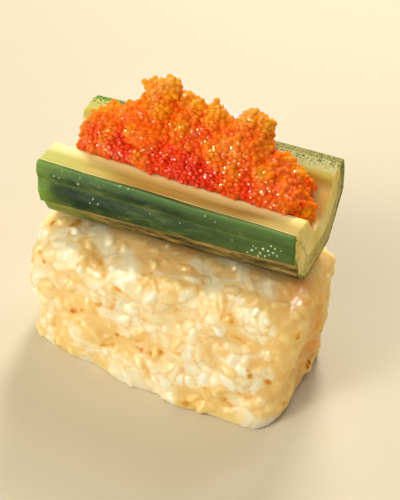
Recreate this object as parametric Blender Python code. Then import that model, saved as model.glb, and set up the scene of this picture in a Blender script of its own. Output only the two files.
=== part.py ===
"""Cucumber boat sushi: a toasted rice block, a hollowed half cucumber lying on it, and a heap of roe.

Metres, +Z up. +X runs along the cucumber and +Y across it, to the back. Each piece is built with the
middle of the cucumber's cut top face as its origin, and the three are then moved together, so that
the model's own origin is the bottom centre of its bounding box, on the table.
"""
import math
import random

import bmesh
import bpy
from mathutils import Matrix, Vector, noise
from mathutils.bvhtree import BVHTree

MM = 0.001

# Driving dimensions
BOAT_LENGTH = 62 * MM
BOAT_TOP = 50.4 * MM            # height of the cut top face above the table
GAP = 0.3 * MM                  # between pieces that touch
GRAIN_LENGTH = 5.9 * MM
GRAIN_WIDTH = 2.9 * MM
EGG_DIAMETER = 1.5 * MM

# Rice block: where its four sides stand at the table and at the top
RICE_LEFT = (-34.5 * MM, -30.8 * MM)
RICE_RIGHT = (31.4 * MM, 33.8 * MM)
RICE_FRONT = (-25.2 * MM, -21.0 * MM)
RICE_BACK = (13.4 * MM, 12.6 * MM)
RICE_SKEW = 2.0 * MM            # how far the front's right end stands forward of its middle, at the table
RICE_BULGE = 2.4 * MM           # how far the left end swells at half height
RICE_SQUARENESS = 4.4           # exponent of the superellipse in plan
RICE_TOP_ROUND = 5.5 * MM
RICE_BASE_ROUND = 0.8 * MM
RICE_UNEVEN = 1.3 * MM          # lumps in the packed rice, a few grains across
RICE_LUMP_SIZE = 9 * MM
RICE_SIDES = 36                 # points in one ring of the core
RICE_LEVELS = 4                 # rings up its straight sides
GRAIN_SPACING = 6.3 * MM
GRAIN_SUNK = 0.1 * MM           # how far a grain's middle lies under the core's surface
GRAIN_TILT = 0.35               # radians, the most that a grain leans out of the surface
GRAIN_SEED = 11

# Cucumber: its cut section at either end, as corners (y, z, corner radius) in mm. It runs from the
# near top edge down the ribbed skin, under the base, up the far side and through the trough.
LEFT_SECTION = [
    (-13.9, 0.0, 0.6), (-14.7, -2.3, 0.0), (-14.1, -4.6, 0.0), (-14.9, -7.6, 0.0), (-14.3, -10.9, 0.0),
    (-12.9, -12.2, 0.0), (-11.6, -15.6, 0.0), (-7.3, -17.7, 1.5), (6.6, -17.7, 1.5), (11.4, -14.0, 2.0),
    (14.6, -8.6, 2.0), (14.9, -3.4, 1.5), (13.9, 0.0, 0.6),
    (7.8, -0.3, 1.0), (4.6, -7.2, 2.2), (-2.2, -7.3, 2.2), (-5.4, -0.4, 1.2),
]
RIGHT_SECTION = [
    (-14.1, 0.0, 0.6), (-14.6, -2.1, 0.0), (-14.3, -4.2, 0.0), (-14.5, -6.2, 0.0), (-13.8, -8.2, 0.0),
    (-12.8, -9.6, 0.0), (-11.4, -13.8, 0.0), (-7.3, -17.7, 1.5), (6.6, -17.7, 1.5), (10.6, -13.6, 2.0),
    (14.9, -8.4, 2.0), (14.9, -3.4, 1.5), (13.7, 0.0, 0.6),
    (8.6, -0.3, 1.0), (4.6, -7.2, 2.2), (-2.8, -7.3, 2.2), (-7.1, -0.4, 1.2),
]
BOAT_STATIONS = 13
BOAT_WAVE = 0.25 * MM           # slow unevenness of the skin and of the cut faces
BOAT_WAVE_LENGTH = 14 * MM
ARC_POINTS = 3

# Roe heap: its lumps as balls (x, y, z, radius) in mm, on a keel that fills the trough
ROE_LUMPS = [
    (-23.0, 0.8, 0.8, 4.2), (-19.4, 1.8, 3.4, 5.0), (-15.8, 1.6, 4.0, 5.6), (-11.6, 2.0, 6.0, 6.0),
    (-6.8, 2.5, 13.8, 4.8), (-7.5, 1.0, 6.4, 6.8), (-1.5, 3.0, 9.6, 5.4), (0.5, 0.0, 4.0, 7.0),
    (5.6, 3.0, 11.2, 4.2), (8.0, 0.8, 5.0, 6.8), (15.0, 4.0, 10.9, 3.9), (14.0, 1.0, 5.6, 6.5),
    (19.5, 0.4, 2.0, 6.2), (22.8, 2.5, 1.4, 4.8), (25.2, 0.6, -0.8, 4.2),
]
RIM_LUMPS = 10                  # smaller lumps in a row along either wall of the trough
RIM_LUMP_RADII = (3.2 * MM, 4.0 * MM)
RIM_LUMP_REACH = (-22.5 * MM, 24.5 * MM)
RIM_LUMP_INSET = 2.8 * MM       # from a wall's inner edge to the middle of its lumps
KEEL_ENDS = (-26.0 * MM, 27.0 * MM)
KEEL_TOP = -1.0 * MM
KEEL_PLAN = (-6.0 * MM, 7.0 * MM)
ROE_UNEVEN = 0.7 * MM
EGG_SPACING = 3.85 * MM
EGG_SUNK = 0.2 * MM
EGG_SEED = 2
RIM_SEED = 2

SAME_POINT = 0.01 * MM
SCATTER_TRIES = 9000

RICE_LOOK = ((0.83, 0.70, 0.42, 1.0), 0.45)
CUCUMBER_LOOK = ((0.07, 0.18, 0.05, 1.0), 0.35)
ROE_LOOK = ((0.85, 0.16, 0.01, 1.0), 0.15)


def clear_scene():
    """Starts from an empty scene."""
    for obj in list(bpy.data.objects):
        bpy.data.objects.remove(obj, do_unlink=True)


def between(pair, share):
    """The value a share of the way from a pair's first to its second."""
    return pair[0] + (pair[1] - pair[0]) * share


def give_material(obj, look):
    """Gives an object a Principled material of one colour and roughness."""
    colour, roughness = look
    material = bpy.data.materials.new(obj.name)
    material.use_nodes = True
    shader = material.node_tree.nodes["Principled BSDF"]
    shader.inputs["Base Color"].default_value = colour
    shader.inputs["Roughness"].default_value = roughness
    shader.inputs["Metallic"].default_value = 0.0
    obj.data.materials.clear()
    obj.data.materials.append(material)


def new_object(name, points, faces, collection):
    """An object of the given points and faces, with its normals outward."""
    shape = bmesh.new()
    verts = [shape.verts.new(p) for p in points]
    for face in faces:
        shape.faces.new([verts[i] for i in face])
    bmesh.ops.recalc_face_normals(shape, faces=shape.faces)
    mesh = bpy.data.meshes.new(name)
    shape.to_mesh(mesh)
    shape.free()
    obj = bpy.data.objects.new(name, mesh)
    collection.objects.link(obj)
    return obj


def loft_faces(rows, count):
    """Faces of a closed loft of rows rings, count points each, with both ends capped."""
    faces = [tuple(range(count)), tuple(range((rows - 1) * count, rows * count))]
    for row in range(rows - 1):
        start = row * count
        for i in range(count):
            j = (i + 1) % count
            faces.append((start + i, start + j, start + count + j, start + count + i))
    return faces


def apply_boolean(obj, operation, other=None, collection=None):
    """Joins or cuts a mesh with one object or with a whole collection, and applies it."""
    boolean = obj.modifiers.new("join", "BOOLEAN")
    boolean.operation = operation
    boolean.solver = "EXACT"
    if collection:
        boolean.operand_type = "COLLECTION"
        boolean.collection = collection
    else:
        boolean.object = other
    graph = bpy.context.evaluated_depsgraph_get()
    mesh = bpy.data.meshes.new_from_object(obj.evaluated_get(graph))
    obj.modifiers.clear()
    obj.data = mesh


def remove_collection(collection):
    """Removes a collection and all its objects."""
    for obj in list(collection.objects):
        bpy.data.objects.remove(obj, do_unlink=True)
    bpy.data.collections.remove(collection)


def new_collection(name):
    """An empty collection in the scene."""
    collection = bpy.data.collections.new(name)
    bpy.context.scene.collection.children.link(collection)
    return collection


def keep_largest_body(obj):
    """Drops the loose scraps that joining leaves, and the walls of hollows that it seals."""
    shape = bmesh.new()
    shape.from_mesh(obj.data)
    left = set(shape.faces)
    bodies = []
    while left:
        body = [left.pop()]
        for face in body:
            for edge in face.edges:
                joined = [other for other in edge.link_faces if other in left]
                left.difference_update(joined)
                body.extend(joined)
        bodies.append(body)
    bodies.sort(key=len)
    for body in bodies[:-1]:
        bmesh.ops.delete(shape, geom=body, context="FACES")
    shape.to_mesh(obj.data)
    shape.free()


def scatter(obj, spacing, seed):
    """Points spread evenly over a mesh, no two nearer than spacing, each with its face's normal."""
    draw = random.Random(seed)
    mesh = obj.data
    mesh.calc_loop_triangles()
    triangles = list(mesh.loop_triangles)
    areas = [triangle.area for triangle in triangles]
    places = []
    for triangle in draw.choices(triangles, areas, k=SCATTER_TRIES):
        a, b, c = (mesh.vertices[i].co for i in triangle.vertices)
        u, v = draw.random(), draw.random()
        if u + v > 1:
            u, v = 1 - u, 1 - v
        place = a + (b - a) * u + (c - a) * v
        if all((place - other).length > spacing for other, _ in places):
            places.append((place, triangle.normal.copy()))
    return places


def rounded_outline(corners, grow):
    """An outline of (y, z, radius) corners in mm, run anticlockwise, all moved out by grow metres."""
    outline = []
    for i, (y, z, radius) in enumerate(corners):
        here = Vector((y, z)) * MM
        back = (Vector(corners[i - 1][:2]) * MM - here).normalized()
        ahead = (Vector(corners[(i + 1) % len(corners)][:2]) * MM - here).normalized()
        half = back.angle(ahead) / 2
        inward = (back + ahead).normalized()
        outward = 1.0 if back.x * ahead.y - back.y * ahead.x < 0 else -1.0
        if radius == 0:
            outline.append(here - inward * outward * grow / math.sin(half))
            continue
        size = radius * MM
        centre = here + inward * size / math.sin(half)
        start = here + back * size / math.tan(half) - centre
        end = here + ahead * size / math.tan(half) - centre
        for step in range(ARC_POINTS):
            arm = start.slerp(end, step / (ARC_POINTS - 1)).normalized()
            outline.append(centre + arm * (size + outward * grow))
    return outline


def boat_wave(x, i):
    """How far point i of the cucumber's section at x strays from its straight line."""
    spot = Vector((x / BOAT_WAVE_LENGTH, i * 0.37, 2.0))
    return noise.noise(spot) * BOAT_WAVE, noise.noise(spot + Vector((0, 0, 7.0))) * BOAT_WAVE


def boat_object(name, grow, collection):
    """The hollowed half cucumber, its whole skin moved out by grow."""
    left = rounded_outline(LEFT_SECTION, grow)
    right = rounded_outline(RIGHT_SECTION, grow)
    points = []
    for station in range(BOAT_STATIONS):
        share = station / (BOAT_STATIONS - 1)
        x = between((-BOAT_LENGTH / 2, BOAT_LENGTH / 2), share)
        x_grown = x * (1 + 2 * grow / BOAT_LENGTH)
        for i, pair in enumerate(zip(left, right)):
            y, z = between(pair, share)
            sway, rise = boat_wave(x, i)
            points.append((x_grown, y + sway, z + rise))
    return new_object(name, points, loft_faces(BOAT_STATIONS, len(left)), collection)


def tree_of(obj):
    """A search tree of an object's faces."""
    shape = bmesh.new()
    shape.from_mesh(obj.data)
    tree = BVHTree.FromBMesh(shape)
    shape.free()
    return tree


def is_clear(points, tree):
    """True where no point lies inside the closed shape of the tree, just under its surface."""
    for point in points:
        nearest, normal, _, distance = tree.find_nearest(point)
        if distance < GRAIN_WIDTH and (point - nearest).dot(normal) < 0:
            return False
    return True


def superellipse_outline():
    """Points of the rice block's plan, evenly spaced, each way from -1 to 1."""
    steps = RICE_SIDES * 20
    length = RICE_RIGHT[0] - RICE_LEFT[0]
    depth = RICE_BACK[0] - RICE_FRONT[0]
    power = 2 / RICE_SQUARENESS
    fine = []
    for i in range(steps):
        c, s = math.cos(2 * math.pi * i / steps), math.sin(2 * math.pi * i / steps)
        fine.append(Vector((math.copysign(abs(c) ** power, c), math.copysign(abs(s) ** power, s))))
    walked = [0.0]
    for a, b in zip(fine, fine[1:] + fine[:1]):
        walked.append(walked[-1] + math.hypot((b.x - a.x) * length, (b.y - a.y) * depth))
    outline = []
    at = 0
    for i in range(RICE_SIDES):
        while walked[at] < walked[-1] * i / RICE_SIDES:
            at += 1
        outline.append(fine[at % steps])
    return outline


def rice_profile(height):
    """The side of the rice block as (height, inset) pairs, from the base's edge to the top's middle."""
    quarter = math.pi / 2
    profile = []
    for step in range(2):
        angle = quarter * step / 2
        profile.append((RICE_BASE_ROUND * (1 - math.cos(angle)), RICE_BASE_ROUND * (1 - math.sin(angle))))
    for step in range(RICE_LEVELS):
        share = step / RICE_LEVELS
        profile.append((between((RICE_BASE_ROUND, height - RICE_TOP_ROUND), share), 0.0))
    for step in range(4):
        angle = quarter * step / 3
        drop = RICE_TOP_ROUND * (1 - math.sin(angle))
        profile.append((height - drop, RICE_TOP_ROUND * (1 - math.cos(angle))))
    profile.append((height, RICE_TOP_ROUND * 1.7))
    profile.append((height, RICE_TOP_ROUND * 2.4))
    return profile


def rice_core(collection):
    """The packed rice without its outer grains: a rounded, lumpy block with a flat base."""
    base = -BOAT_TOP
    seat = min(z for _, z, _ in LEFT_SECTION) * MM - BOAT_WAVE - GAP
    height = seat - base
    outline = superellipse_outline()
    profile = rice_profile(height)
    points = []
    for rise, inset in profile:
        share = rise / height
        swell = RICE_BULGE * math.sin(math.pi * share)
        left, right = between(RICE_LEFT, share) - swell, between(RICE_RIGHT, share)
        for u, v in outline:
            front = between(RICE_FRONT, share) - RICE_SKEW * u * (1 - share)
            back = between(RICE_BACK, share)
            x = (left + right) / 2 + u * ((right - left) / 2 - inset)
            y = (front + back) / 2 + v * ((back - front) / 2 - inset)
            points.append((x, y, base + rise))
    core = new_object("rice_block", points, loft_faces(len(profile), RICE_SIDES), collection)
    for vertex in core.data.vertices:
        lump = noise.noise(vertex.co / RICE_LUMP_SIZE) * RICE_UNEVEN * 2
        on_base = vertex.co.z < base + SAME_POINT
        vertex.co += vertex.normal * lump
        vertex.co.z = base if on_base else min(max(vertex.co.z, base + SAME_POINT), seat)
    return core


def grain_points(draw):
    """A cooked grain along X with few sides: two tips and three rings of five, slightly bent."""
    length = GRAIN_LENGTH * draw.uniform(0.88, 1.1)
    width = GRAIN_WIDTH * draw.uniform(0.9, 1.12)
    bend = 0.25 * MM * draw.uniform(-1, 1)
    points = [Vector((-length / 2, 0, bend))]
    for share, fullness in ((-0.31, 0.78), (0.0, 1.0), (0.31, 0.78)):
        for i in range(5):
            angle = 2 * math.pi * i / 5
            sideways = Vector((0, math.cos(angle), math.sin(angle))) * width / 2 * fullness
            points.append(Vector((share * length, 0, bend * abs(share) * 2)) + sideways)
    points.append(Vector((length / 2, 0, bend)))
    return points


def grain_faces():
    """Faces of a grain: a fan at each tip and two bands between the rings."""
    faces = []
    for i in range(5):
        j = (i + 1) % 5
        faces.append((0, 1 + i, 1 + j))
        faces.append((16, 11 + j, 11 + i))
        for ring in (1, 6):
            faces.append((ring + i, ring + 5 + i, ring + 5 + j))
            faces.append((ring + i, ring + 5 + j, ring + j))
    return faces


def add_grains(core, boat_tree):
    """Fuses separate grains on the rice core, half sunk, where they clear the cucumber and the table."""
    draw = random.Random(GRAIN_SEED)
    grains = new_collection("grains")
    floor = -BOAT_TOP
    for place, normal in scatter(core, GRAIN_SPACING, GRAIN_SEED):
        if normal.z < -0.9:
            continue
        lie = Matrix.Rotation(draw.uniform(-GRAIN_TILT, GRAIN_TILT), 3, "Y")
        turn = Matrix.Rotation(draw.uniform(0, math.pi), 3, "Z")
        stand = normal.to_track_quat("Z", "Y").to_matrix() @ turn @ lie
        points = [place - normal * GRAIN_SUNK + stand @ p for p in grain_points(draw)]
        lift = max(0.0, floor + 2 * SAME_POINT - min(p.z for p in points))
        points = [p + Vector((0, 0, lift)) for p in points]
        if is_clear(points, boat_tree):
            new_object("grain", points, grain_faces(), grains)
    apply_boolean(core, "UNION", collection=grains)
    remove_collection(grains)
    keep_largest_body(core)


def ball(name, centre, radius, subdivisions, collection):
    """A ball of triangles."""
    shape = bmesh.new()
    bmesh.ops.create_icosphere(shape, subdivisions=subdivisions, radius=radius)
    bmesh.ops.translate(shape, verts=shape.verts, vec=centre)
    mesh = bpy.data.meshes.new(name)
    shape.to_mesh(mesh)
    shape.free()
    obj = bpy.data.objects.new(name, mesh)
    collection.objects.link(obj)
    return obj


def rim_lumps():
    """The small lumps along the trough's two walls, as (place, radius) pairs."""
    draw = random.Random(RIM_SEED)
    lumps = []
    for inner_edge, side in ((-1, 1), (-4, -1)):
        for i in range(RIM_LUMPS):
            share = i / (RIM_LUMPS - 1)
            x = between(RIM_LUMP_REACH, share)
            along = x / BOAT_LENGTH + 0.5
            wall = between((LEFT_SECTION[inner_edge][0], RIGHT_SECTION[inner_edge][0]), along) * MM
            place = Vector((x, wall + side * RIM_LUMP_INSET, draw.uniform(-0.8, 1.0) * MM))
            lumps.append((place, between(RIM_LUMP_RADII, draw.random())))
    return lumps


def keel_object(collection):
    """The bar of roe that fills the trough, as deep as the trough before its corners are cut away."""
    near, far = KEEL_PLAN
    floor = min(z for _, z, _ in LEFT_SECTION[13:]) * MM
    points = []
    for x in KEEL_ENDS:
        points += [(x, near, KEEL_TOP), (x, near, floor), (x, far, floor), (x, far, KEEL_TOP)]
    return new_object("roe_heap", points, loft_faces(2, 4), collection)


def roe_core(grown_boat, collection):
    """The heap without its outer eggs: lumps on a keel, cut clear of the cucumber."""
    core = keel_object(collection)
    lumps = new_collection("lumps")
    main_lumps = [(Vector(lump[:3]) * MM, lump[3] * MM) for lump in ROE_LUMPS]
    for place, radius in main_lumps + rim_lumps():
        lump = ball("lump", place, radius, 2, lumps)
        for vertex in lump.data.vertices:
            out = (vertex.co - place).normalized()
            vertex.co += out * noise.noise(vertex.co / radius) * ROE_UNEVEN * 2
    apply_boolean(core, "UNION", collection=lumps)
    remove_collection(lumps)
    apply_boolean(core, "DIFFERENCE", other=grown_boat)
    keep_largest_body(core)
    return core


def add_eggs(core, boat_tree):
    """Fuses separate eggs on the heap where they clear the cucumber."""
    eggs = new_collection("eggs")
    for place, normal in scatter(core, EGG_SPACING, EGG_SEED):
        centre = place - normal * EGG_SUNK
        egg = ball("egg", centre, EGG_DIAMETER / 2, 1, eggs)
        if not is_clear([v.co for v in egg.data.vertices], boat_tree):
            bpy.data.objects.remove(egg, do_unlink=True)
    apply_boolean(core, "UNION", collection=eggs)
    remove_collection(eggs)
    keep_largest_body(core)


def centre_on_origin(objects):
    """Moves the pieces together, so that the origin is the bottom centre of their bounding box."""
    points = [v.co for obj in objects for v in obj.data.vertices]
    low = Vector(min(p[axis] for p in points) for axis in range(3))
    high = Vector(max(p[axis] for p in points) for axis in range(3))
    shift = Vector((-(low.x + high.x) / 2, -(low.y + high.y) / 2, -low.z))
    for obj in objects:
        obj.data.transform(Matrix.Translation(shift))


def build():
    """Builds the three pieces."""
    clear_scene()
    scene = bpy.context.scene.collection
    boat = boat_object("cucumber_boat", 0.0, scene)
    grown_boat = boat_object("grown_boat", GAP, scene)
    wary_tree = tree_of(boat_object("wary_boat", 1.5 * GAP, scene))
    bpy.data.objects.remove(bpy.data.objects["wary_boat"], do_unlink=True)

    rice = rice_core(scene)
    add_grains(rice, wary_tree)
    roe = roe_core(grown_boat, scene)
    add_eggs(roe, wary_tree)
    bpy.data.objects.remove(grown_boat, do_unlink=True)

    for obj, look in ((rice, RICE_LOOK), (boat, CUCUMBER_LOOK), (roe, ROE_LOOK)):
        give_material(obj, look)
    boat.data.shade_smooth()
    boat.data.set_sharp_from_angle(angle=math.radians(30))
    centre_on_origin([rice, boat, roe])


build()
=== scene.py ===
"""Looks of the cucumber boat sushi: packed rice grains, a hollowed half cucumber and a heap of roe.

Metres, in the frame's own axes. Places given in mm are measured from the middle of the cucumber's
cut top face, with +X along the cucumber, +Y across it to the back and +Z up.
"""
import math

import bmesh
import bpy
import numpy as np
from mathutils import Matrix, Vector, geometry, noise
from mathutils.bvhtree import BVHTree
from mathutils.kdtree import KDTree


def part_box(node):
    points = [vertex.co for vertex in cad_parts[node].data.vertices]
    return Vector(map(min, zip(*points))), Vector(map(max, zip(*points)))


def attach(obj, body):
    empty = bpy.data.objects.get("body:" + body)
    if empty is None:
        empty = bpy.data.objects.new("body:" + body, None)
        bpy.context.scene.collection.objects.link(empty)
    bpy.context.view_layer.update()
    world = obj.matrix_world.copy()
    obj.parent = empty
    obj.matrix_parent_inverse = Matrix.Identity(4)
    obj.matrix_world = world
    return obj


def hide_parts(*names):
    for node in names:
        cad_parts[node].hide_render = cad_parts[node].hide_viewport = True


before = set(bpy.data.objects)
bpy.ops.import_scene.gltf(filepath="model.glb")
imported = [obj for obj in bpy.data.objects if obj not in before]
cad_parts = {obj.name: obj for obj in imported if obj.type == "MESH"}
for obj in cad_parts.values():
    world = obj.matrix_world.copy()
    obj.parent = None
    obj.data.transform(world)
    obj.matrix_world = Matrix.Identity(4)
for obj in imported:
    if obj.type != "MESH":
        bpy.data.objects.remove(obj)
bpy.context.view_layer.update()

MM = 0.001
FAR_AWAY = 1e3

# Sizes shared with the frame's solids
BOAT_LENGTH = 62 * MM
BOAT_TOP = 50.4 * MM
BOAT_REACH = 14.95 * MM  # from its cut face's middle to its far side
GAP = 0.3 * MM  # between the cucumber and what touches it
GRAIN_LENGTH = 5.9 * MM
GRAIN_WIDTH = 2.9 * MM
EGG_DIAMETER = 1.35 * MM
DEEPEST_INSIDE = 3 * MM  # from a shape's skin, and farther counts as outside
RICE_LEFT = (-34.5 * MM, -30.8 * MM)
RICE_RIGHT = (31.4 * MM, 33.8 * MM)
RICE_FRONT = (-25.2 * MM, -21 * MM)
RICE_BACK = (13.4 * MM, 12.6 * MM)
RICE_SKEW = 2 * MM
RICE_BULGE = 2.4 * MM
RICE_SQUARENESS = 4.4
RICE_TOP_ROUND = 5.5 * MM
RICE_BASE_ROUND = 0.8 * MM
RICE_UNEVEN = 1.3 * MM
RICE_LUMP_SIZE = 9 * MM
RICE_SEAT = 18.25 * MM  # depth of the rice's top under the cut top face
RICE_SIDES = 150  # points round the rice block
RICE_SIDE_ROWS = 20
RICE_ROUND_ROWS = 10

# Layers of grains on the rice's smooth form: spacing, places tried, centres' heights, lean in radians
GRAIN_LAYERS = (
    (2.9 * MM, 14000, (-1.4 * MM, -0.95 * MM), 0.18),
    (6 * MM, 5000, (-1.1 * MM, -0.7 * MM), 0.25),
)
GRAIN_RINGS = 7
GRAIN_SIDES = 10
GRAIN_LENGTHS = (0.72, 1.02)  # shares of the full length
GRAIN_WIDTHS = (0.88, 1.15)  # shares of the full width
GRAIN_THICKNESSES = (0.7, 0.9)  # shares of each grain's width
BROKEN_SHARE = 0.15  # how many grains are broken
BROKEN_LENGTHS = (0.5, 0.75)
GRAIN_SINK = 0.4 * MM  # step in which a grain clears the cucumber
GRAIN_TRIES = 7
CORE_INSET = 0.25 * MM  # of the form that fills in between the grains
RICE_VOXEL = 0.34 * MM
RICE_KEPT_FACES = 0.66
SHARD_SIZE = 2.6 * MM
SHARD_HEIGHT = 0.4 * MM
SEAM_WIDTH = 0.4 * MM
MARK_SPREAD = 1.5  # how far a mark fades, in half widths

# Cucumber's section at either end: corners (y, z, corner radius) in mm, from the near top edge down
# the ribbed skin, under the base, up the far side and through the trough
LEFT_SECTION = [
    (-13.9, 0, 0.6), (-14.7, -2.3, 0.9), (-14.1, -4.6, 0.3), (-14.9, -7.6, 1.2), (-14.3, -10.9, 0.4),
    (-12.9, -12.2, 0.3), (-11.6, -15.6, 1.2), (-7.3, -17.7, 1.5), (6.6, -17.7, 1.5), (11.4, -14, 2),
    (14.6, -8.6, 2), (14.9, -3.4, 1.5), (14.4, -0.5, 0.5), (12, 0.1, 0.8),
    (7.6, -0.3, 1), (4.6, -7.2, 2.2), (-2.2, -7.3, 2.2), (-5.4, -0.4, 1.2),
]
RIGHT_SECTION = [
    (-14.1, 0, 0.5), (-14.6, -2.1, 0.9), (-14.3, -4.2, 0.3), (-14.5, -6.2, 0.9), (-13.8, -8.2, 0.4),
    (-12.8, -9.6, 0.3), (-11.4, -13.8, 1.2), (-7.3, -17.7, 1.5), (6.6, -17.7, 1.5), (10.6, -13.6, 2),
    (14.9, -8.4, 2), (14.9, -3.4, 1.5), (14.4, -0.4, 0.5), (11.6, 0.1, 0.8),
    (7.5, -0.4, 1), (4.6, -7.2, 2.2), (-2.8, -7.3, 1.8), (-7.1, -0.4, 2.4),
]
FAR_CORNER = 13  # where the far wall's skin shoulder meets its cut top
FAR_RISE = 0.9 * MM  # of the far wall's outer edge towards the right end
FACET = 4  # the notch under the near side's green facet
BOAT_STATIONS = 150
BOAT_STEP = 0.55 * MM  # spacing of points round the section
ARC_POINTS = 5
END_STEP = 0.55 * MM  # spacing of points over the cut ends
END_EDGE = ((0, 0.25), (0.12, 0.06))  # the cut ends' worn edge: mm from the end, mm inwards
END_MARGIN = 0.3 * MM  # from the end to the full section
END_DEPTH = 3 * MM  # under the skin at which the end face's depth is 1
BOAT_WAVE = 0.22 * MM
BOAT_WAVE_LENGTH = 14 * MM

# Roe heap's lumps as balls (x, y, z, radius) in mm
ROE_LUMPS = [
    (-23, 0.8, 0.4, 3.6), (-19.6, 1.8, 2.6, 4.4), (-15.8, 1.6, 3.2, 4.8), (-11.6, 2, 5.4, 5.2),
    (-7, 2.2, 11.6, 4.2), (-7.5, 1, 6, 6), (-1.6, 2.6, 9, 4.6), (0.5, 0, 3.6, 6.2),
    (5, 2.6, 8.6, 4), (8, 0.8, 4.6, 6), (13.8, 3.2, 8.4, 4), (13.4, 1, 5, 5.6),
    (18.6, 0.2, 1.8, 5.2), (21, 1.6, 0.6, 4.2), (24.6, -0.6, -2, 3.8), (27, -0.6, -4.2, 2.6),
]

# Smaller lobes that stand out of them, painted brighter as painted light, in the same form
ROE_LOBES = [
    (-24.4, 1, 0.8, 1.9), (-24.6, -0.2, -1, 1.8), (-22.8, 2, 3.2, 1.8), (-19.3, 2, 5.8, 1.9),
    (-15.6, 2, 5.8, 1.9), (-12.4, 2.4, 8, 2), (-10.2, 2.5, 11, 1.9), (-9.2, 3, 15, 1.8),
    (-5.4, 2.5, 16.7, 2.1), (-6.4, 0.6, 11.8, 2.4), (-2.2, 3, 13.4, 1.8), (0.2, 3, 12.8, 1.8),
    (-1, -0.6, 8.6, 2.4), (-12, -2.2, 5, 2.2), (-17.8, -1.6, 3, 2.2), (-9, -4.4, 1.6, 2),
    (5.3, 3, 12.4, 2), (8.8, 3.5, 9.6, 1.7), (13.2, 4, 12.4, 2), (15.4, 4, 11.8, 1.9),
    (16.4, 2.5, 8, 2.2), (10.6, -0.4, 7.4, 2.6), (12.4, -3.6, 4, 2.2), (6.6, -2.6, 6.4, 2),
    (21.2, 3, 3.8, 1.9), (24, 2.5, 2.2, 1.8), (18.6, -2.6, 4.4, 2.2), (22.6, -1.6, 1.8, 2.2),
    (26, 0.2, -1.4, 1.8), (27.6, -1.6, -3, 1.8),
]

# Painted shade as deep red in the hollows low on the heap's near side: (x, y, z, size) in mm, and strength
RED_SHADE_SPOTS = [
    (1.5, -5, 2.5, 4.6, 0.7), (5.5, -6.5, 0.5, 4, 0.7), (0.5, -3, 6, 2.6, 0.5),
    (-5, -6, 0.5, 4, 0.35), (-14, -4, 1.5, 4, 0.35), (17.5, -5.5, -0.5, 3, 0.4),
    (14, -3, 3.5, 2.4, 0.3),
]

# Lumps along the trough's two walls: section corner, way out, first and last x in mm
RIM_RUNS = ((-1, 1, -21.5, 24), (-4, -1, -20.5, 19))
RIM_COUNT = 14
RIM_INSET = 2.6  # mm from the wall's edge to a lump's middle
RIM_HEIGHTS = (-0.8, 0.6)  # mm
RIM_RADII = (3, 3.6)  # mm
TROUGH_FILL_PLACE = (0.5, 0.9, -3.6)  # middle and size in mm of the block that fills the trough
TROUGH_FILL_SIZE = (53, 9, 7)
ROE_VOXEL = 0.5 * MM
ROE_LUMP_SIZE = 3.6 * MM
ROE_SWELL = 0.12 * MM  # fills the gaps between the eggs

# Layers of eggs over the heap's form: spacing, places tried, lift in mm, most eggs
EGG_LAYERS = (
    (0.98 * MM, 120000, (-0.25, 0.25), 2100),
    (2.4 * MM, 9000, (0.5, 0.9), 250),
)
EGG_SIZES = (0.88, 1.12)  # shares of the full diameter
EGG_GAP = 0.05 * MM  # between an egg and the cucumber
BURIED_LEVEL = -2 * MM  # lower eggs are hidden, except near the ends
BURIED_REACH = 24 * MM

# Camera, fitted to the corners of the cucumber's cut top face
CAMERA_PLACE = Vector((105.7, -210.2, 184.8)) * MM
CAMERA_AZIMUTH = math.radians(26.23)
CAMERA_ELEVATION = math.radians(41.91)
CAMERA_ROLL = math.radians(1.12)
CAMERA_LENS = 97.5
SENSOR_SIZE = 36
IMAGE_SIZE = (400, 500)

# Lamps: name, place, width, watts, tint, and whether it makes glints only
LAMPS = (
    ("key", (-0.07, 0.40, 0.40), 0.16, 2.8, (1, 0.97, 0.93), False),
    ("fill", (-0.34, -0.41, 0.32), 0.40, 0.78, (1, 0.93, 0.79), False),
    ("top", (-0.05, -0.28, 0.48), 0.30, 0.79, (1, 0.92, 0.79), False),
    ("glint_front", (-0.22, -0.36, 0.46), 0.17, 44, (1, 0.89, 0.62), True),
    ("glint_low", (-0.26, -0.44, 0.06), 0.08, 6, (1, 0.97, 0.92), True),
    ("glint_back", (0.12, 0.30, 0.50), 0.12, 9, (1, 0.97, 0.9), True),
)
LAMP_AIM = Vector((0, 0, 0.03))
ROOM_TINT = (1, 0.83, 0.56, 1)
ROOM_LIGHT = 0.45
FLOOR_SIZE = 3


def between(pair, share):
    """The value a share of the way from a pair's first to its second."""
    return pair[0] + (pair[1] - pair[0]) * share


def colour(code):
    """Linear colour of an sRGB code such as "f0c080"."""
    channels = [int(code[i:i + 2], 16) / 255 for i in (0, 2, 4)]
    return tuple(c / 12.92 if c <= 0.04045 else ((c + 0.055) / 1.055) ** 2.4 for c in channels) + (1,)


def in_scene(name, data):
    """A new object in the scene."""
    obj = bpy.data.objects.new(name, data)
    bpy.context.scene.collection.objects.link(obj)
    return obj


def mesh_object(name, points, faces):
    """A smooth mesh object in the scene."""
    mesh = bpy.data.meshes.new(name)
    mesh.from_pydata(np.asarray(points).tolist(), [], [list(face) for face in faces])
    mesh.update()
    mesh.shade_smooth()
    return in_scene(name, mesh)


def bmesh_object(name, shape):
    """A smooth mesh object in the scene from a bmesh, which is freed."""
    mesh = bpy.data.meshes.new(name)
    shape.to_mesh(mesh)
    shape.free()
    mesh.shade_smooth()
    return in_scene(name, mesh)


def coordinates(mesh, key="co"):
    """A mesh's points as an array."""
    values = np.empty(len(mesh.vertices) * 3)
    mesh.vertices.foreach_get(key, values)
    return values.reshape(-1, 3)


def set_coordinates(mesh, points):
    """Moves a mesh's points."""
    mesh.vertices.foreach_set("co", np.asarray(points).ravel())
    mesh.update()


def normals(mesh):
    """The normals at a mesh's points as an array."""
    return coordinates(mesh, "normal")


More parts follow.
